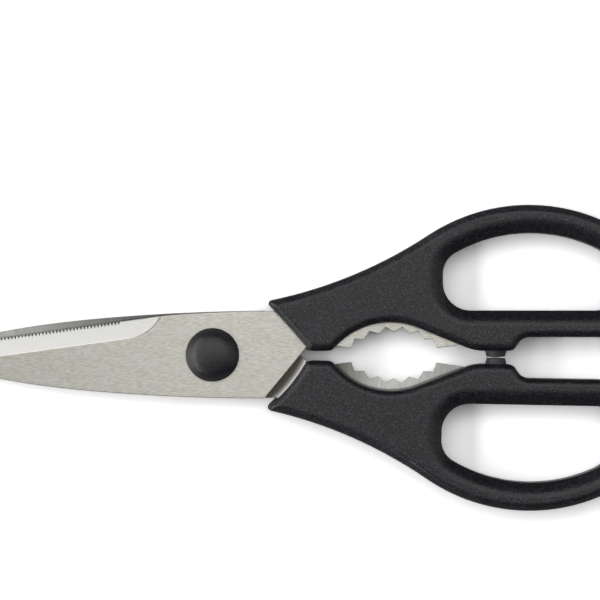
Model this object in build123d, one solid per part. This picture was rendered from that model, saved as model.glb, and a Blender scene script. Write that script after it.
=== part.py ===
from build123d import *
import os
from math import cos, radians, sin, sqrt, tan

# Kitchen shears lying closed, front blade uppermost, in millimetres.
# The halves are drawn about the pivot: +X towards the handles, +Y towards the upper
# handle, and the two blades meet at height zero. Each half is one blade with its tang
# and one handle moulded over the tang. The back half is the front half turned over.

# Blade, seen from its outer face
blade_thickness = 2.2
blade_hollow = 0.1              # space between the two inner faces
blade_reach = 88.0              # pivot to tip, before the tip is rounded
tip_height = 1.0                # tip above the centre line
tip_radius = 1.2
edge_end_reach = 14.3           # where the cutting edge stops, short of the pivot
edge_end_height = 11.2
collar_height = 12.5            # top of the blade where it enters the handle
collar_insert = 1.35            # how far its corner lies inside the handle
collar_angle = 5.0              # slope of the blade's top just past the cutting edge
spine_depth = 12.5              # back of the blade below the centre line
heel_foot_gap = 2.75            # heel to the line of the other handle's bolster
heel_top_gap = 3.8
heel_radius = 0.6
spine_shares = ((-0.01, 0.984), (-0.30, 0.886), (-0.56, 0.705), (-0.75, 0.472))

# Ground bevel and its fine teeth
bevel_width = 5.15
edge_thickness = 0.45
plunge_radius = 12.8            # where the grinding wheel lifts out
plunge_slope = 20.0             # of its wall, from upright
serration_pitch = 1.0
serration_mouth = 0.7
serration_depth = 0.85
serration_start = 2.6           # plain edge left at the tip
serrated_reach = 25.6           # the teeth stop this far short of the pivot

# Tang, the part of the steel inside the handle
tang_edge = 2.1                 # tang above the centre line
tang_lap = 6.0                  # how far the tang's drawing runs back into the blade
tongue_reach_share = 0.741      # end of the narrow tongue in the handle's bar
tongue_cover = 2.3              # plastic beside the tongue
tang_corner = 1.5
tongue_round_share = 0.48       # radius of the tongue's end corners, of its width
tang_top_shares = ((0.695, 0.425), (0.915, 0.49))
anchor_bore = 5.0               # holes that the plastic flows through
anchor_shares = ((0.498, 0.215), (0.723, 0.325), (0.892, 0.335))

# Toothed jaw
throat_length = 6.5             # flat of the handle between the bolster and the jaw
jaw_centre_depth = 12.0         # centre of the teeth's circle below the centre line
tooth_tip_radius = 18.5
tooth_depth = 1.55
tooth_count = 7
tooth_angle = 13.8
jaw_lip_rise = 1.1              # the plain edge climbs this much beside the teeth
jaw_lip_length = 8.0

# Handle outline
handle_reach = 124.2            # pivot to the far end
handle_height = 42.9            # top of the loop above the centre line
handle_thickness = 12.0
closed_gap = 2.3                # between the two handles beside the jaw
bolster_reach = 15.1            # sharp outer corner, before it is rounded
bolster_height = 15.35
bolster_foot_reach = 27.8
bolster_rise_angle = 10.9       # slope where the outer edge leaves the bolster
bolster_outer_hollow = 0.2      # sag of the bolster's front, on the blade's outer side
bolster_inner_hollow = 1.1
bolster_inner_step = 0.8        # on the inner side its foot lies this much nearer the pivot
bolster_corner_radius = 1.0
corner_ease = 0.05              # corners are this much rounder than the edges
loop_wall = 8.1                 # round the finger hole
arch_lean = 0.65                # its arch sits this much nearer the far end
loop_web = 13.95                # middle of the jaw to the finger hole
bar_height = 5.0                # inner edge of the bar above the centre line
bar_width = 7.7
bar_end_inset = 3.2             # the bar stops this much short of the loop's end
bar_end_radius = 6.0
hole_near_foot_radius = 8.0
hole_near_top_radius = 7.0
hole_far_top_radius = 10.0
hole_far_foot_radius = 6.0
near_foot_room_share = 0.57     # most of the hole's end wall that a corner may take
near_top_room_share = 0.50
far_top_room_share = 0.70
far_foot_room_share = 0.42
recess_offset = 1.15            # the jaw's recess sits this much nearer the pivot
recess_margin = 1.2             # steel that shows behind the teeth
recess_flare_angle = 22.0
recess_flare_radius = 13.0
bumper_flat_length = 11.0       # flat of the handle that carries the bumper
heel_step_angle = 56.0
heel_step_radius = 2.3
heel_step_hollow_radius = 4.2
outer_edge_shares = ((0.499, 0.802), (0.895, 0.904), (1.0, 0.50))

# Handle edges
edge_round = 2.2
shoulder_width = 2.45           # sloping strip along the outer edge
shoulder_angle = 38.0
shoulder_round = 1.0            # between the strip and the side
shoulder_crease_round = 2.0     # between the strip and the flat
hole_rim_width = 4.5            # sloping strip round the finger hole
hole_rim_angle = 42.0
hole_rim_round = 0.8
hole_rim_crease_round = 3.8

# Bumpers between the handles
bumper_place_share = 0.567      # along the flat
bumper_base_diameter = 6.2
bumper_end_diameter = 5.3
bumper_dome = 0.15
bumper_rest_gap = 0.12          # between the two bumpers when closed
bumper_stem_diameter = 3.0
bumper_stem_length = 4.2
bumper_barb_diameter = 4.0
bumper_barb_length = 1.4

# Pivot
shank_diameter = 8.0
running_clearance = 0.05        # on the radius, stud in back blade
neck_diameter = 7.0
neck_flats = 5.6
tenon_diameter = 4.6
key_length = 13.0               # oblong head that holds the back blade
key_width = 5.4
key_thickness = 2.2
key_play = 0.1                  # between the head and the back blade
keyway_clearance = 0.3
release_angle = 100.0           # opening at which the halves come apart
washer_flange_diameter = 12.0
washer_flange_height = 0.7
washer_foot_height = 0.6
washer_undercut = 0.8           # the foot is this much smaller all round
rivet_head_diameter = 7.4
rivet_head_height = 1.2
cap_side_wall = 1.55
cap_top_wall = 1.3
cap_headroom = 0.5              # over the rivet
cap_rim_height = 1.3
cap_crown_radius = 18.0         # gentle dome in the middle
cap_crown_share = 0.55          # its share of the cap's radius, before the rolled edge
cap_clearance = 0.1

# Closed, the back half is not quite the mirror of the front half
back_blade_turn = 0.35
back_tang_turn = -0.4
back_handle_turn = -1.07

cut_overrun = 3.0

# What follows from the sizes
blade_inner_face = blade_hollow / 2
blade_outer_face = blade_inner_face + blade_thickness
handle_face = handle_thickness / 2
parting_edge = closed_gap / 2
corner_radius = edge_round + corner_ease
recess_radius = tooth_tip_radius + tooth_depth + recess_margin
recess_reach = sqrt(recess_radius ** 2 - (jaw_centre_depth + parting_edge) ** 2)
jaw_reach = bolster_foot_reach + throat_length + recess_reach + recess_offset
hole_reach = jaw_reach + loop_web
bar_end_reach = handle_reach - bar_end_inset
tongue_reach = handle_reach * tongue_reach_share
washer_foot_diameter = washer_flange_diameter - 2 * washer_undercut
washer_height = washer_foot_height + washer_flange_height
cap_diameter = washer_flange_diameter + 2 * (cap_clearance + cap_side_wall)
cap_height = washer_height + rivet_head_height + cap_headroom + cap_top_wall
tip = Vector(-blade_reach, tip_height)
edge_end = Vector(-edge_end_reach, edge_end_height)
edge_direction = (edge_end - tip).normalized()
edge_outward = Vector(-edge_direction.Y, edge_direction.X)


def bolster_line(height):
    """Distance from the pivot to the line along the bolster's front, at a height."""
    lean = (bolster_foot_reach - bolster_reach) / (bolster_height - parting_edge)
    return bolster_foot_reach - (height - parting_edge) * lean


def heel_corners():
    """Top and foot of the blade's slanting heel."""
    top = Vector(bolster_line(-tang_edge) - heel_top_gap, tang_edge)
    foot = Vector(bolster_line(spine_depth) - heel_foot_gap, -spine_depth)
    return top, foot


def collar():
    """Where the blade's top runs into the handle."""
    return Vector(bolster_line(collar_height) + collar_insert, collar_height)


def rounded(face, corners):
    """A face with the named corners rounded, each to its own radius."""
    for corner, radius in corners:
        vertex = face.vertices().sort_by_distance(corner)[0]
        face = fillet(vertex, radius)
    return face


def shared_points(shares, length, height):
    """Outline points given as shares of a length and a height."""
    return [Vector(along * length, up * height) for along, up in shares]


def plate(face, bottom, top):
    """A flat face made into a plate between two heights."""
    return Pos(0, 0, bottom) * extrude(face, top - bottom)


def turned_over(shape, turn):
    """A piece of the front half placed as its fellow in the back half."""
    return Rot(0, 0, turn) * Rot(180, 0, 0) * shape


# Blade

def blade_face():
    """Flat of the blade, from the tip to the slanting heel beside the handle."""
    heel_top, heel_foot = heel_corners()
    spine = shared_points(spine_shares, blade_reach, -spine_depth)
    rise = radians(collar_angle)
    outline = [
        Line(tip, edge_end),
        TangentArc(edge_end, collar(), tangent=(cos(rise), sin(rise))),
        Line(collar(), heel_top),
        Line(heel_top, heel_foot),
        Spline(heel_foot, *spine, tip),
    ]
    return rounded(make_face(outline), [(tip, tip_radius), (heel_foot, heel_radius)])


def along_edge(distance, outward, height=0):
    """A point by its distance from the tip along the cutting edge."""
    return tip + edge_direction * distance + edge_outward * outward + Vector(0, 0, height)


def bevel_cutter():
    """The wedge ground off the outer face, with the wheel's round run-out."""
    edge_length = (edge_end - tip).length
    slope = (blade_thickness - edge_thickness) / bevel_width
    low = blade_outer_face - slope * (bevel_width + cut_overrun)
    section = Plane(origin=along_edge(-cut_overrun, 0), x_dir=edge_outward, z_dir=edge_direction)
    wedge = section * Polygon(
        (-bevel_width, blade_outer_face),
        (cut_overrun, low),
        (cut_overrun, blade_outer_face + cut_overrun),
        (-bevel_width, blade_outer_face + cut_overrun),
        align=None,
    )
    wedge = extrude(wedge, edge_length + 2 * cut_overrun)
    run_out = sqrt(plunge_radius ** 2 - (plunge_radius - bevel_width) ** 2)
    straight = edge_length - run_out
    depth = blade_outer_face - low
    draw_in = tan(radians(plunge_slope))
    wheel = Cone(
        plunge_radius - depth * draw_in,
        plunge_radius + cut_overrun * draw_in,
        depth + cut_overrun,
        align=(Align.CENTER, Align.CENTER, Align.MIN),
    )
    wheel = Pos(*along_edge(straight, plunge_radius - bevel_width, low)) * wheel
    lift_out = Plane(origin=along_edge(straight, 0), x_dir=edge_outward, z_dir=-edge_direction)
    pass_width = 2 * (bevel_width + cut_overrun)
    pass_height = 2 * (blade_outer_face + cut_overrun)
    straight_pass = extrude(lift_out * Rectangle(pass_width, pass_height), straight + cut_overrun)
    return wedge & (straight_pass + wheel)


def serration_cutter():
    """A comb that cuts the fine teeth into the edge."""
    last = (edge_end.X - tip.X - (serrated_reach - edge_end_reach)) / edge_direction.X
    count = int((last - serration_start) / serration_pitch)
    points = [along_edge(serration_start - serration_pitch, cut_overrun)]
    for notch in range(count):
        middle = serration_start + notch * serration_pitch
        points.append(along_edge(middle - serration_mouth / 2, 0))
        points.append(along_edge(middle, -serration_depth))
        points.append(along_edge(middle + serration_mouth / 2, 0))
    points.append(along_edge(serration_start + count * serration_pitch, cut_overrun))
    comb = make_face(Polyline(*points, close=True))
    return plate(comb, -cut_overrun, blade_outer_face + cut_overrun)


def blade_plate(serrated):
    """The blade itself, ground and, on the front half, serrated."""
    blade = plate(blade_face(), blade_inner_face, blade_outer_face) - bevel_cutter()
    if serrated:
        blade = blade - serration_cutter()
    return blade


# Tang and toothed jaw

def jaw_point(radius, angle):
    """A point on a circle about the jaw's centre, by its angle from straight up."""
    across = jaw_reach + radius * sin(radians(angle))
    return Vector(across, radius * cos(radians(angle)) - jaw_centre_depth)


def jaw_tooth_points():
    """Tips and valleys of the teeth, from the pivot's side outwards."""
    points = []
    for step in range(2 * tooth_count - 1):
        angle = (step - tooth_count + 1) * tooth_angle / 2
        radius = tooth_tip_radius + tooth_depth * (step % 2)
        points.append(jaw_point(radius, angle))
    return points


def tang_face():
    """Flat of the tang, with its teeth along the handle's jaw."""
    teeth = jaw_tooth_points()
    near_lip = teeth[0] + Vector(-jaw_lip_length, jaw_lip_rise)
    far_lip = teeth[-1] + Vector(jaw_lip_length, jaw_lip_rise)
    tongue_foot = bar_height + tongue_cover
    tongue_top = bar_height + bar_width - tongue_cover
    hole_near = hole_reach - tongue_cover
    top = shared_points(tang_top_shares, hole_reach, handle_height)
    tongue_end = Vector(tongue_reach, tongue_top)
    tongue_foot_end = Vector(tongue_reach, tongue_foot)
    points = [
        collar(),
        *top,
        Vector(hole_near, tongue_top),
        tongue_end,
        tongue_foot_end,
        Vector(far_lip.X, tongue_foot),
        far_lip,
        *reversed(teeth),
        near_lip,
        heel_corners()[0],
        Vector(collar().X - tang_lap, collar_height / 2),
    ]
    face = make_face(Polyline(*points, close=True))
    tongue_corner = min(tang_corner, (tongue_top - tongue_foot) * tongue_round_share)
    return rounded(face, [
        (top[0], tang_corner),
        (top[1], tang_corner),
        (tongue_end, tongue_corner),
        (tongue_foot_end, tongue_corner),
    ])


def tang_plate():
    """The tang, with the holes that anchor the plastic."""
    tang = plate(tang_face(), blade_inner_face, blade_outer_face)
    for place in shared_points(anchor_shares, hole_reach, handle_height):
        tang = tang - Pos(place.X, place.Y, 0) * Cylinder(anchor_bore / 2, handle_thickness)
    return tang


# Handle

def outer_edge():
    """The handle's outer edge, from the bolster's corner round to the bar."""
    start = Vector(bolster_reach, bolster_height)
    rise = radians(bolster_rise_angle)
    points = shared_points(outer_edge_shares, handle_reach, handle_height)
    points.append(Vector(bar_end_reach, bar_height))
    edges = [TangentArc(start, points[0], tangent=(cos(rise), sin(rise)))]
    for begin, end in zip(points, points[1:]):
        edges.append(TangentArc(begin, end, tangent=edges[-1] % 1))
    return edges


def recess_edge():
    """The arch over the jaw: its flared side and its arc, from far to near."""
    offset = Vector(-recess_offset, 0)
    flare_top = offset + jaw_point(recess_radius, recess_flare_angle)
    flare_run = (flare_top.Y - parting_edge) / tan(radians(recess_flare_angle))
    flare_foot = Vector(flare_top.X + flare_run, parting_edge)
    crown = offset + jaw_point(recess_radius, 0)
    near_foot = Vector(crown.X - recess_reach, parting_edge)
    return flare_foot, flare_top, crown, near_foot


def handle_face_outline(foot_reach, hollow):
    """Flat of the handle without its finger hole, by its bolster's foot and hollow front."""
    bolster_top = Vector(bolster_reach, bolster_height)
    bolster_foot = Vector(foot_reach, parting_edge)
    bar_end = Vector(bar_end_reach, bar_height)
    step_rise = bar_height - parting_edge
    flare_foot, flare_top, crown, near_foot = recess_edge()
    step_foot = flare_foot + Vector(bumper_flat_length, 0)
    step_top = step_foot + Vector(step_rise / tan(radians(heel_step_angle)), step_rise)
    outline = outer_edge() + [
        Line(bar_end, step_top),
        Line(step_top, step_foot),
        Line(step_foot, flare_foot),
        Line(flare_foot, flare_top),
        ThreePointArc(flare_top, crown, near_foot),
        Line(near_foot, bolster_foot),
        SagittaArc(bolster_foot, bolster_top, -hollow),
    ]
    return rounded(make_face(outline), [
        (bolster_top, bolster_corner_radius),
        (bolster_foot, corner_radius),
        (near_foot, corner_radius),
        (flare_foot, recess_flare_radius),
        (step_foot, heel_step_radius),
        (step_top, heel_step_hollow_radius),
        (bar_end, bar_end_radius),
    ])


def arch_point(reach):
    """A point on the arch over the finger hole, at a distance from the pivot."""
    crest = outer_edge()[1]
    centre = crest.arc_center + Vector(arch_lean, 0)
    radius = crest.radius - loop_wall
    return Vector(reach, centre.Y + sqrt(radius ** 2 - (reach - centre.X) ** 2))


def finger_hole_face():
    """The finger hole: a straight bar below and an arch above."""
    far = handle_reach - loop_wall
    near_foot = Vector(hole_reach, bar_height + bar_width)
    far_foot = Vector(far, bar_height + bar_width)
    near_top = arch_point(hole_reach)
    far_top = arch_point(far)
    near_wall = near_top.Y - near_foot.Y
    far_wall = far_top.Y - far_foot.Y
    outline = [
        Line(near_foot, far_foot),
        Line(far_foot, far_top),
        ThreePointArc(far_top, arch_point((hole_reach + far) / 2), near_top),
        Line(near_top, near_foot),
    ]
    return rounded(make_face(outline), [
        (near_foot, min(hole_near_foot_radius, near_wall * near_foot_room_share)),
        (near_top, min(hole_near_top_radius, near_wall * near_top_room_share)),
        (far_top, min(hole_far_top_radius, far_wall * far_top_room_share)),
        (far_foot, min(hole_far_foot_radius, far_wall * far_foot_room_share)),
    ])


def sloping_strip(width, angle, foot_round, crease_round):
    """What a sloping strip takes off an edge, seen end on: a round at its foot and its crease."""
    slope = radians(angle)
    slope_top = Vector(
        crease_round * sin(slope) - width,
        handle_face - crease_round * (1 - cos(slope)),
    )
    foot_inset = foot_round * (1 - sin(slope))
    slope_run = -foot_inset - slope_top.X
    slope_foot = Vector(-foot_inset, slope_top.Y - slope_run * tan(slope))
    side_top = slope_foot.Y - foot_round * cos(slope)
    over = handle_face + cut_overrun
    return make_face([
        TangentArc((0, side_top), slope_foot, tangent=(0, 1)),
        Line(slope_foot, slope_top),
        TangentArc(slope_top, (-width, handle_face), tangent=slope_top - slope_foot),
        Line((-width, handle_face), (-width, over)),
        Line((-width, over), (foot_round, over)),
        Line((foot_round, over), (foot_round, side_top)),
        Line((foot_round, side_top), (0, side_top)),
    ])


def shoulder_cutter():
    """The sloping strip taken off along the outer edge."""
    edges = outer_edge()
    lead_in = edges[0] % 0
    lead_out = edges[-1] % 1
    start = edges[0] @ 0 - lead_in * cut_overrun
    end = edges[-1] @ 1 + lead_out * cut_overrun
    path = Wire([Line(start, edges[0] @ 0), *edges, Line(edges[-1] @ 1, end)])
    section = Plane(origin=start, x_dir=Vector(-lead_in.Y, lead_in.X), z_dir=lead_in)
    profile = sloping_strip(shoulder_width, shoulder_angle, shoulder_round, shoulder_crease_round)
    return sweep(section * profile, path=path)


def hole_rim_cutter():
    """The sloping strip taken off round the finger hole."""
    face = finger_hole_face()
    path = face.wire()
    start = path @ 0
    along = path % 0
    into_hole = Vector(-along.Y, along.X)
    if into_hole.dot(face.center() - start) < 0:
        into_hole = -into_hole
        along = -along
    section = Plane(origin=start, x_dir=into_hole, z_dir=along)
    profile = sloping_strip(hole_rim_width, hole_rim_angle, hole_rim_round, hole_rim_crease_round)
    return sweep(section * profile, path=path)


def handle_body():
    """The handle before it is moulded over a tang."""
    inner_foot = bolster_foot_reach - bolster_inner_step
    outer = handle_face_outline(bolster_foot_reach, bolster_outer_hollow) - finger_hole_face()
    inner = handle_face_outline(inner_foot, bolster_inner_hollow) - finger_hole_face()
    body = plate(outer, blade_inner_face, handle_face) + plate(inner, -handle_face, blade_inner_face)
    for side in (0, -1):
        face = body.faces().sort_by(Axis.Z)[side]
        body = body.fillet(edge_round, face.outer_wire().edges())
    cutters = [shoulder_cutter(), hole_rim_cutter()]
    return body - (cutters + [mirror(cutter, Plane.XY) for cutter in cutters])


# Bumpers

def bumper_reach():
    """Distance from the pivot to the bumper's axis."""
    flat_start = recess_edge()[0]
    return flat_start.X + bumper_flat_length * bumper_place_share


def bumper_length():
    """How far each bumper stands out of its handle, so that the two just meet."""
    opening = closed_gap - bumper_reach() * sin(radians(back_handle_turn))
    return (opening - bumper_rest_gap) / 2


def bumper_turned(outline):
    """A round shape about the bumper's own axis, from its half outline."""
    face = make_face(outline)
    axis = Axis((bumper_reach(), 0, 0), (0, 1, 0))
    return revolve(Pos(bumper_reach(), 0, 0) * face, axis)


def bumper_stem():
    """Stem and barb of the bumper, which also shape its socket in the handle."""
    root = parting_edge
    stem = bumper_stem_diameter / 2
    barb = bumper_barb_diameter / 2
    top = root + bumper_stem_length
    barb_foot = top - bumper_barb_length
    return bumper_turned(Polyline(
        (0, root), (stem, root), (stem, barb_foot), (barb, barb_foot), (stem, top), (0, top),
        close=True,
    ))


def bumper():
    """A soft pad with a barbed stem."""
    foot = parting_edge - bumper_length()
    base = bumper_base_diameter / 2
    end = bumper_end_diameter / 2
    pad = bumper_turned([
        Line((0, parting_edge), (base, parting_edge)),
        Line((base, parting_edge), (end, foot + bumper_dome)),
        TangentArc((0, foot), (end, foot + bumper_dome), tangent=(1, 0)),
        Line((0, foot), (0, parting_edge)),
    ])
    return pad + bumper_stem()


# Pivot

def disc(diameter, bottom, top):
    """A round disc about the pivot between two heights."""
    return plate(Circle(diameter / 2), bottom, top)


def neck(bottom, top):
    """The stud's neck, round with two flats, that turns with the front blade."""
    section = Circle(neck_diameter / 2) & Rectangle(neck_diameter, neck_flats)
    return plate(section, bottom, top)


def oblong(length, width, bottom, top):
    """A bar with round ends across the pivot."""
    return plate(SlotOverall(length, width), bottom, top)


def pivot_stud():
    """Oblong head, shank in the back blade, neck in the front blade, riveted end."""
    key_top = -blade_outer_face - key_play
    washer_top = blade_outer_face + washer_height
    head = oblong(key_length, key_width, key_top - key_thickness, key_top)
    head = Rot(0, 0, -release_angle) * head
    shank = disc(shank_diameter, key_top, blade_inner_face)
    tenon = disc(tenon_diameter, blade_outer_face, washer_top)
    rivet = Pos(0, 0, washer_top) * dome(rivet_head_diameter / 2, 0, rivet_head_height)
    return head + shank + neck(blade_inner_face, blade_outer_face) + tenon + rivet


def dome(radius, rim, height):
    """A round button with a straight rim and a domed top, standing on height zero."""
    outline = [
        Line((0, 0), (radius, 0)),
        TangentArc((0, height), (radius, rim), tangent=(1, 0)),
        Line((0, height), (0, 0)),
    ]
    if rim > 0:
        outline.append(Line((radius, 0), (radius, rim)))
    return revolve(Plane.XZ * make_face(outline), Axis.Z)


def pivot_washer():
    """A stepped washer that the cap clips over."""
    step = blade_outer_face + washer_foot_height
    foot = disc(washer_foot_diameter, blade_outer_face, step)
    flange = disc(washer_flange_diameter, step, blade_outer_face + washer_height)
    bore = disc(tenon_diameter, blade_outer_face - cut_overrun, step + cut_overrun)
    return foot + flange - bore


def cap_outside():
    """The cap's solid outside: a straight rim, a rolled edge and a gently domed crown."""
    radius = cap_diameter / 2
    crown_edge = radius * cap_crown_share
    sag = cap_crown_radius - sqrt(cap_crown_radius ** 2 - crown_edge ** 2)
    crown = TangentArc((0, cap_height), (crown_edge, cap_height - sag), tangent=(1, 0))
    rolled = TangentArc(crown @ 1, (radius, cap_rim_height), tangent=crown % 1)
    rim = Polyline((radius, cap_rim_height), (radius, 0), (0, 0), (0, cap_height))
    return revolve(Plane.XZ * make_face([crown, rolled, rim]), Axis.Z)


def pivot_cap():
    """A domed cap, hollow over the washer, with a lip under the washer's flange."""
    lip_top = washer_foot_height - cap_clearance
    cavity_radius = washer_flange_diameter / 2 + cap_clearance
    cavity_rim = washer_height + cap_clearance - lip_top
    cavity = dome(cavity_radius, cavity_rim, cap_height - cap_top_wall - lip_top)
    lip = disc(washer_foot_diameter + 2 * cap_clearance, -cut_overrun, lip_top)
    shell = cap_outside() - lip - Pos(0, 0, lip_top) * cavity
    return Pos(0, 0, blade_outer_face) * shell


def front_bore():
    """The hole with two flats in the front blade."""
    return neck(-cut_overrun, blade_outer_face + cut_overrun)


def back_bore():
    """The round bore in the back blade, with the keyway across it."""
    low = -blade_outer_face - cut_overrun
    bore = disc(shank_diameter + 2 * running_clearance, low, cut_overrun)
    length = key_length + 2 * keyway_clearance
    width = key_width + 2 * keyway_clearance
    return bore + oblong(length, width, low, cut_overrun)


def build_parts():
    """Every piece in its place about the pivot, by name."""
    front_blade = blade_plate(serrated=True) + tang_plate() - front_bore()
    back_blade = turned_over(blade_plate(serrated=False), back_blade_turn)
    back_blade = back_blade + turned_over(tang_plate(), back_tang_turn) - back_bore()
    socketed = handle_body() - bumper_stem()
    return {
        "front_blade": front_blade,
        "back_blade": back_blade,
        "upper_handle": socketed - front_blade,
        "lower_handle": turned_over(socketed, back_handle_turn) - back_blade,
        "pivot_stud": pivot_stud(),
        "pivot_washer": pivot_washer(),
        "pivot_cap": pivot_cap(),
        "upper_bumper": bumper(),
        "lower_bumper": turned_over(bumper(), back_handle_turn),
    }


parts = build_parts()
box = Compound(list(parts.values())).bounding_box()
lift = Pos(-box.center().X, -box.center().Y, -box.min.Z)
os.makedirs("parts", exist_ok=True)
for name, shape in parts.items():
    export_step(lift * shape, "parts/" + name + ".step")
print("overall size", box.size, "pivot at", lift.position)
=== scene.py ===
import bmesh
import bpy
from math import pi
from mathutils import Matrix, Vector

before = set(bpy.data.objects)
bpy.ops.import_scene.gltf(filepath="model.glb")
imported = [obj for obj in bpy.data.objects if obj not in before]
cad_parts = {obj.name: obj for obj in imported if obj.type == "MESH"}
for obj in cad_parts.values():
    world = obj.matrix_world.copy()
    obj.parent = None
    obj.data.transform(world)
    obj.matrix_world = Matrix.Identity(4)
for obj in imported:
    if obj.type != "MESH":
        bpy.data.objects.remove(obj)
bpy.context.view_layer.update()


# Table, camera and light
# The shears lie on a white sheet of cast acrylic under one large soft box, which hangs a
# little behind them and leaves their front edges in shade. A strip light and a card at the
# left draw the pale rims of the cap and the bolsters, and a dim card fills the right.

def colour(hex_code):
    """A colour written as sRGB hex, turned to the linear values that a shader takes."""
    parts = [int(hex_code[i:i + 2], 16) / 255 for i in (1, 3, 5)]
    return [c / 12.92 if c <= 0.04045 else ((c + 0.055) / 1.055) ** 2.4 for c in parts] + [1.0]


def new_material(name):
    """An empty node material."""
    material = bpy.data.materials.new(name)
    material.use_nodes = True
    material.node_tree.nodes.clear()
    return material


def add(owner, kind, inputs=None, **settings):
    """Adds a node. Each input is a value, an output, or a node whose first output is used."""
    node = owner.node_tree.nodes.new("ShaderNode" + kind)
    for setting, value in settings.items():
        setattr(node, setting, value)
    for socket, value in (inputs or {}).items():
        if isinstance(value, bpy.types.Node):
            value = value.outputs[0]
        if isinstance(value, bpy.types.NodeSocket):
            owner.node_tree.links.new(value, node.inputs[socket])
        else:
            node.inputs[socket].default_value = value
    return node


def soft_light(name, place, aim, width, depth, brightness):
    """A soft box that glows evenly: its brightness is what a white sheet facing it shows."""
    lamp = bpy.data.lights.new(name, "AREA")
    lamp.shape = "RECTANGLE"
    lamp.size = width
    lamp.size_y = depth
    lamp.energy = brightness * width * depth * pi
    light = bpy.data.objects.new(name, lamp)
    bpy.context.scene.collection.objects.link(light)
    light.location = place
    light.rotation_euler = (Vector(aim) - Vector(place)).to_track_quat("-Z", "Y").to_euler()
    light.visible_camera = False
    return light


table_half = 6.0
table_colour = "#CCCCCC"
table_white = 1.5               # how far the lens burns the sheet out to white
mirrored_white = 0.1            # the share of that white that the shears mirror
sheet_grain = 900.0             # grains in a metre
sheet_grain_depth = 0.0001
sheet_grain_strength = 0.02
noise_detail = 2.0

shape = bmesh.new()
bmesh.ops.create_grid(shape, x_segments=1, y_segments=1, size=table_half)
mesh = bpy.data.meshes.new("table")
shape.to_mesh(mesh)
shape.free()
table = bpy.data.objects.new("table", mesh)
bpy.context.scene.collection.objects.link(table)

# Cast acrylic with a matt face: an even white that keeps the soft shadow of the shears.
acrylic = new_material("matt_cast_acrylic")
on_sheet = add(acrylic, "TexCoord").outputs["Object"]
grain = add(acrylic, "TexNoise", {
    "Vector": on_sheet, "Scale": sheet_grain, "Detail": noise_detail,
})
relief = add(acrylic, "Bump", {
    "Strength": sheet_grain_strength, "Distance": sheet_grain_depth,
    "Height": grain.outputs["Fac"],
})
ray = add(acrylic, "LightPath")
mirrored = add(acrylic, "Math", {
    0: ray.outputs["Is Glossy Ray"], 1: mirrored_white,
}, operation="MULTIPLY")
seen = add(acrylic, "Math", {
    0: ray.outputs["Is Camera Ray"], 1: mirrored,
}, operation="MAXIMUM")
seen = add(acrylic, "Math", {
    0: seen, 1: ray.outputs["Is Transmission Ray"],
}, operation="MAXIMUM")
white = [table_white, table_white, table_white, 1.0]
tone = add(acrylic, "MixRGB", {"Fac": seen, "Color1": colour(table_colour), "Color2": white})
sheet = add(acrylic, "BsdfDiffuse", {"Color": tone, "Normal": relief})
add(acrylic, "OutputMaterial", {"Surface": sheet})
table.data.materials.append(acrylic)

photo_centre = Vector((0.00517, 0.01655, 0.006))
photo_width = 0.1725
camera_height = 0.9
film_width = 36.0
nearest_seen = 0.05
camera = bpy.data.objects.new("camera", bpy.data.cameras.new("camera"))
bpy.context.scene.collection.objects.link(camera)
camera.data.sensor_width = film_width
camera.data.lens = camera.data.sensor_width * camera_height / photo_width
camera.data.clip_start = nearest_seen
camera.location = photo_centre + Vector((0, 0, camera_height))
bpy.context.scene.camera = camera

soft_light("overhead_softbox", place=(0.1, 0.38, 1.3), aim=(0.1, 0.38, 0),
           width=1.8, depth=1.16, brightness=1.3)
soft_light("softbox_centre", place=(0.1, 0.6, 1.28), aim=(0.1, 0.6, 0),
           width=1.2, depth=0.5, brightness=1.1)
soft_light("left_strip", place=(-1.0, 0, 0.9), aim=(0, 0, 0),
           width=2.4, depth=0.22, brightness=9.0)
soft_light("left_card", place=(-1.0, -0.2, 0.31), aim=(0, -0.2, 0.31),
           width=1.2, depth=0.6, brightness=2.4)
soft_light("right_card", place=(1.0, 0.1, 0.5), aim=(0, 0.1, 0),
           width=1.2, depth=0.8, brightness=0.7)

studio_glow = 0.05
world = bpy.data.worlds.new("studio")
bpy.context.scene.world = world
world.use_nodes = True
world.node_tree.nodes.clear()
air = add(world, "Background", {"Color": colour("#FFFFFF"), "Strength": studio_glow})
add(world, "OutputWorld", {"Surface": air})
bpy.context.scene.view_settings.view_transform = "Standard"


# Front blade
# One stamping of martensitic stainless steel, its tang and jaw teeth included. The outer
# face is belt-brushed along the blade, and the bevel and the inner face are ground across.

mm = 0.001
brushed_from = 0.985            # a face this upright or more is the flat of the blade
brushed_blend = 0.01
ground_from = 0.25              # a face this upright or more is the bevel or the inner face
ground_blend = 0.1
streak_length = 1.6             # brushed streaks, in mm. Real ones are 0.02 mm wide: these
streak_width = 0.2              # are drawn about as wide as a pixel of the picture
line_pitch = 0.26               # grinding lines, drawn coarser for the same reason
line_length = 12 * line_pitch
mottle_length = 9.0
mottle_width = mottle_length / 3
shade_from = -80.0              # towards the tip the face is a little darker, between these
shade_to = -20.0                # places along the shears, in mm from their middle
mark_depth = 0.004
mark_strength = 0.3
pit_roughness = 0.38
crest_roughness = 0.29
tumbled_radius = 0.35           # left on the edges by tumbling in stones
tumbled_samples = 6
noise_dark = 0.3                # the part of the noise that is stretched to dark and light
noise_light = 0.7


def surface_noise(owner, place, size):
    """Noise from 0 to 1 whose grains have a size in mm along X, Y and Z."""
    scale = [1 / (side * mm) for side in size]
    stretched = add(owner, "Mapping", {"Vector": place, "Scale": scale})
    noise = add(owner, "TexNoise", {"Vector": stretched, "Scale": 1.0, "Detail": noise_detail})
    return add(owner, "MapRange", {
        "Value": noise.outputs["Fac"], "From Min": noise_dark, "From Max": noise_light,
    })


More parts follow.
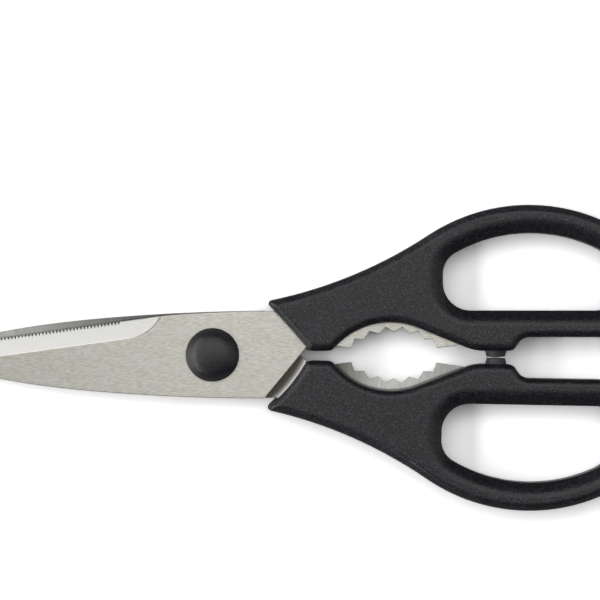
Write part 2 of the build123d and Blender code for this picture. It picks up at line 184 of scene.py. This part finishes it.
def blade_steel(name, outer_side, inner_tone):
    """Steel with the finish of each face. The outer side faces up (1) or down (-1)."""
    steel = new_material(name)
    coordinates = add(steel, "TexCoord")
    place = coordinates.outputs["Object"]
    upward = add(steel, "SeparateXYZ", {"Vector": coordinates.outputs["Normal"]}).outputs["Z"]
    outward = add(steel, "Math", {0: upward, 1: outer_side}, operation="MULTIPLY")
    brushed = add(steel, "MapRange", {
        "Value": outward, "From Min": brushed_from - brushed_blend, "From Max": brushed_from,
    })
    ground = add(steel, "MapRange", {
        "Value": outward, "From Min": ground_from - ground_blend, "From Max": ground_from,
    })
    inner = add(steel, "MapRange", {
        "Value": outward, "From Min": -ground_from, "From Max": -ground_from - ground_blend,
    })
    streaks = surface_noise(steel, place, (streak_length, streak_width, streak_width))
    mottles = surface_noise(steel, place, (mottle_length, mottle_width, mottle_length))
    lines = surface_noise(steel, place, (line_pitch, line_length, line_pitch))

    cool = add(steel, "MixRGB", {
        "Fac": streaks, "Color1": colour("#A7A6A1"), "Color2": colour("#C6C5BE"),
    })
    warm = add(steel, "MixRGB", {
        "Fac": streaks, "Color1": colour("#A6A499"), "Color2": colour("#C4C1B6"),
    })
    face = add(steel, "MixRGB", {"Fac": mottles, "Color1": cool, "Color2": warm})
    along = add(steel, "SeparateXYZ", {"Vector": place}).outputs["X"]
    behind = add(steel, "MapRange", {
        "Value": along, "From Min": shade_from * mm, "From Max": shade_to * mm,
    })
    shade = add(steel, "MixRGB", {
        "Fac": behind, "Color1": colour("#EBEBEB"), "Color2": colour("#FFFFFF"),
    })
    face = add(steel, "MixRGB", {
        "Fac": 1.0, "Color1": face, "Color2": shade,
    }, blend_type="MULTIPLY")
    bevel = add(steel, "MixRGB", {
        "Fac": lines, "Color1": colour("#D9D8D4"), "Color2": colour("#E1E0DC"),
    })
    rim = add(steel, "MixRGB", {
        "Fac": streaks, "Color1": colour("#77756F"), "Color2": colour("#8F8C85"),
    })
    tone = add(steel, "MixRGB", {"Fac": ground, "Color1": rim, "Color2": bevel})
    tone = add(steel, "MixRGB", {"Fac": brushed, "Color1": tone, "Color2": face})
    tone = add(steel, "MixRGB", {
        "Fac": inner, "Color1": tone, "Color2": inner_tone(steel, place, lines),
    })

    edges = add(steel, "Bevel", {"Radius": tumbled_radius * mm}, samples=tumbled_samples)
    height = add(steel, "MixRGB", {"Fac": brushed, "Color1": lines, "Color2": streaks})
    relief = add(steel, "Bump", {
        "Strength": mark_strength, "Distance": mark_depth * mm,
        "Height": height, "Normal": edges,
    })
    gloss = add(steel, "MapRange", {
        "Value": height, "To Min": pit_roughness, "To Max": crest_roughness,
    })
    shell = add(steel, "BsdfPrincipled", {
        "Base Color": tone, "Metallic": 1.0, "Roughness": gloss, "Normal": relief,
    })
    add(steel, "OutputMaterial", {"Surface": shell})
    return steel


def clean_ground(steel, place, lines):
    """The tone of an even cross-ground face."""
    return add(steel, "MixRGB", {
        "Fac": lines, "Color1": colour("#9C9A95"), "Color2": colour("#ABA9A4"),
    })


# Belt-brushed stainless: a dull warm grey with short streaks along it, beside a bright bevel.
front_steel = blade_steel("belt_brushed_stainless_steel", 1.0, clean_ground)
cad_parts["front_blade"].material_slots[0].material = front_steel


# Back blade
# The same stamping turned over, without teeth on its edge. Its inner face lies uppermost:
# ground across, painted darker towards the pivot, and painted with a ring of shade and
# highlight before the bolster.

shaded_span = (-78.0, -45.0)        # along the shears, in mm from their middle: where painted shade darkens the inner face, where it ends, where the jaw's tones begin, and where the jaw's near and far ends lie
spine_span = (-34.0, -26.0)         # inner face gets duller, where it is clean again, where
bolster_span = (10.0, 14.0)         # the jaw's tones begin, and where the jaw's near and
near_jaw_span = (16.0, 28.0)        # far ends lie
far_jaw_span = (37.0, 48.0)
# The ring is painted shade near the heel that brightens to a painted highlight at the bolster.
shade_ring_centre = (-28.05, 17.45)     # of the ring, in mm from the middle of the shears
shade_ring_start = 36.9
shade_ring_end = 39.6
shade_ring_sharpness = 4.0
shade_ring_span = (-7.0, 10.0)          # where along the shears the ring shows
# Painted shade in crevices: an occlusion test over this depth in mm darkens the tone.
crevice_depth = 0.6
crevice_darkness = 2.0
crevice_samples = 8


def ground_with_painted_shade(steel, place, lines):
    """The tones of the inner face: painted shade beside the edge and in crevices, a painted
    ring of shade and highlight, and tones along the jaw.
    """
    along = add(steel, "SeparateXYZ", {"Vector": place}).outputs["X"]
    shaded, at_spine, past_bolster, into_jaw, out_of_jaw = [
        add(steel, "MapRange", {
            "Value": along, "From Min": span[0] * mm, "From Max": span[1] * mm,
        }) for span in (shaded_span, spine_span, bolster_span, near_jaw_span, far_jaw_span)
    ]
    # Painted shade: the inner face darkens beside the front blade's edge towards the pivot,
    # and is light again near the spine.
    edge = add(steel, "MixRGB", {
        "Fac": shaded, "Color1": colour("#A9A8A4"), "Color2": colour("#6B6A68"),
    })
    edge = add(steel, "MixRGB", {"Fac": at_spine, "Color1": edge, "Color2": colour("#B5B4B0")})
    jaw = add(steel, "MixRGB", {
        "Fac": into_jaw, "Color1": colour("#5A564F"), "Color2": colour("#BEBDB9"),
    })
    jaw = add(steel, "MixRGB", {"Fac": out_of_jaw, "Color1": jaw, "Color2": colour("#A09F9C")})
    tone = add(steel, "MixRGB", {"Fac": past_bolster, "Color1": edge, "Color2": jaw})

    flat_place = add(steel, "VectorMath", {0: place, 1: (1, 1, 0)}, operation="MULTIPLY")
    centre = [shade_ring_centre[0] * mm, shade_ring_centre[1] * mm, 0]
    radius = add(steel, "VectorMath", {0: flat_place, 1: centre}, operation="DISTANCE")
    climb = add(steel, "MapRange", {
        "Value": radius.outputs["Value"],
        "From Min": shade_ring_start * mm, "From Max": shade_ring_end * mm,
    })
    climb = add(steel, "Math", {0: climb, 1: shade_ring_sharpness}, operation="POWER")
    # Painted shade and painted highlight: dark inside the ring, bright at its outer edge.
    painted_ring = add(steel, "MixRGB", {
        "Fac": climb, "Color1": colour("#45413B"), "Color2": colour("#F6F4F0"),
    })
    after = add(steel, "Math", {0: along, 1: shade_ring_span[0] * mm}, operation="GREATER_THAN")
    before = add(steel, "Math", {0: along, 1: shade_ring_span[1] * mm}, operation="LESS_THAN")
    near = add(steel, "Math", {0: after, 1: before}, operation="MULTIPLY")

    scratch = add(steel, "MixRGB", {
        "Fac": lines, "Color1": colour("#DEDEDE"), "Color2": colour("#FFFFFF"),
    })
    tone = add(steel, "MixRGB", {
        "Fac": 1.0, "Color1": tone, "Color2": scratch,
    }, blend_type="MULTIPLY")
    # Painted shade: the tone darkens where the occlusion test finds the front blade or the
    # handles close by, as under the edge and in the notches.
    crevices = add(steel, "AmbientOcclusion", {
        "Distance": crevice_depth * mm,
    }, samples=crevice_samples)
    open_air = add(steel, "Math", {
        0: crevices.outputs["AO"], 1: crevice_darkness,
    }, operation="POWER")
    tone = add(steel, "MixRGB", {"Fac": open_air, "Color1": colour("#1E1D1C"), "Color2": tone})
    return add(steel, "MixRGB", {"Fac": near, "Color1": tone, "Color2": painted_ring})


# Cross-ground stainless: fine lines across the blade, with painted shade beside the front
# blade and in crevices, and a painted ring of shade and highlight.
back_steel = blade_steel("cross_ground_stainless_steel", -1.0, ground_with_painted_shade)
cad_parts["back_blade"].material_slots[0].material = back_steel


# Handles
# Each handle is one moulding of black polypropylene round its tang. The mould was spark
# eroded, which left a fine grain on every face that a hand or thumb holds.

plastic_ior = 1.49
painted_glint_sharpness = 3.0
patch_size = 6.0                # patches where the mould is worn more or less smooth, in mm
patch_roughness = 0.03


def moulded_plastic(name, base, painted_glint, shine, roughness, grain_size, grain_depth):
    """Moulded plastic with a grain of a size and depth in mm, and painted glints on the
    grain's high points.
    """
    plastic = new_material(name)
    place = add(plastic, "TexCoord").outputs["Object"]
    pits = surface_noise(plastic, place, (grain_size, grain_size, grain_size))
    patches = surface_noise(plastic, place, (patch_size, patch_size, patch_size))
    relief = add(plastic, "Bump", {
        "Strength": 1.0, "Distance": grain_depth * mm, "Height": pits,
    })
    gloss = add(plastic, "MapRange", {
        "Value": patches,
        "To Min": roughness - patch_roughness, "To Max": roughness + patch_roughness,
    })
    # Painted glints: the grain's high points are painted lighter, standing in for the light
    # that they catch.
    bright = add(plastic, "Math", {0: pits, 1: painted_glint_sharpness}, operation="POWER")
    tone = add(plastic, "MixRGB", {
        "Fac": bright, "Color1": colour(base), "Color2": colour(painted_glint),
    })
    shell = add(plastic, "BsdfPrincipled", {
        "Base Color": tone, "Roughness": gloss, "IOR": plastic_ior,
        "Specular IOR Level": shine, "Normal": relief,
    })
    add(plastic, "OutputMaterial", {"Surface": shell})
    return plastic


# Spark-grained polypropylene: a dense, faintly blue black with a fine speckle of painted
# glints.
handle_plastic = moulded_plastic(
    "spark_grained_polypropylene", base="#08080B", painted_glint="#404047",
    shine=0.4, roughness=0.3, grain_size=0.36, grain_depth=0.05,
)
for name in ("upper_handle", "lower_handle"):
    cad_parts[name].material_slots[0].material = handle_plastic


# Bumpers
# Two soft pads of black thermoplastic elastomer, pushed by their barbed stems into the
# handles, which part them from each other when the shears are closed.

# Soft elastomer: greyer than the handles, with a fainter grain and faint painted glints, and
# dull like rubber.
bumper_rubber = moulded_plastic(
    "soft_black_elastomer", base="#303035", painted_glint="#3B3B40",
    shine=0.45, roughness=0.55, grain_size=0.4, grain_depth=0.02,
)
for name in ("upper_bumper", "lower_bumper"):
    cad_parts[name].material_slots[0].material = bumper_rubber


# Pivot stud and washer
# Turned from free-cutting stainless steel. The stud's end is riveted over the washer, and
# both are hidden under the cap when the shears are closed.

tool_mark_length = 3.0          # marks of the lathe tool, in mm
tool_mark_width = 0.3
tool_mark_strength = 0.2
groove_roughness = 0.36
ridge_roughness = 0.28


def turned_steel():
    """Steel with the fine marks that a lathe tool leaves."""
    steel = new_material("turned_stainless_steel")
    place = add(steel, "TexCoord").outputs["Object"]
    marks = surface_noise(steel, place, (tool_mark_length, tool_mark_width, tool_mark_width))
    tone = add(steel, "MixRGB", {
        "Fac": marks, "Color1": colour("#A5A39D"), "Color2": colour("#C4C2BB"),
    })
    gloss = add(steel, "MapRange", {
        "Value": marks, "To Min": groove_roughness, "To Max": ridge_roughness,
    })
    relief = add(steel, "Bump", {
        "Strength": tool_mark_strength, "Distance": mark_depth * mm, "Height": marks,
    })
    shell = add(steel, "BsdfPrincipled", {
        "Base Color": tone, "Metallic": 1.0, "Roughness": gloss, "Normal": relief,
    })
    add(steel, "OutputMaterial", {"Surface": shell})
    return steel


# Turned stainless: brighter and smoother than the blades, with the marks of the tool.
pivot_steel = turned_steel()
for name in ("pivot_stud", "pivot_washer"):
    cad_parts[name].material_slots[0].material = pivot_steel


# Pivot cap
# A domed cap moulded from black nylon, which clips over the washer. Its mould was only
# sanded, so its grain is softer than that of the handles.

# Satin nylon: a smooth black with a broad soft gleam towards the light, and faint painted
# glints.
cap_plastic = moulded_plastic(
    "satin_nylon", base="#121216", painted_glint="#222226",
    shine=0.5, roughness=0.42, grain_size=0.6, grain_depth=0.03,
)
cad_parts["pivot_cap"].material_slots[0].material = cap_plastic
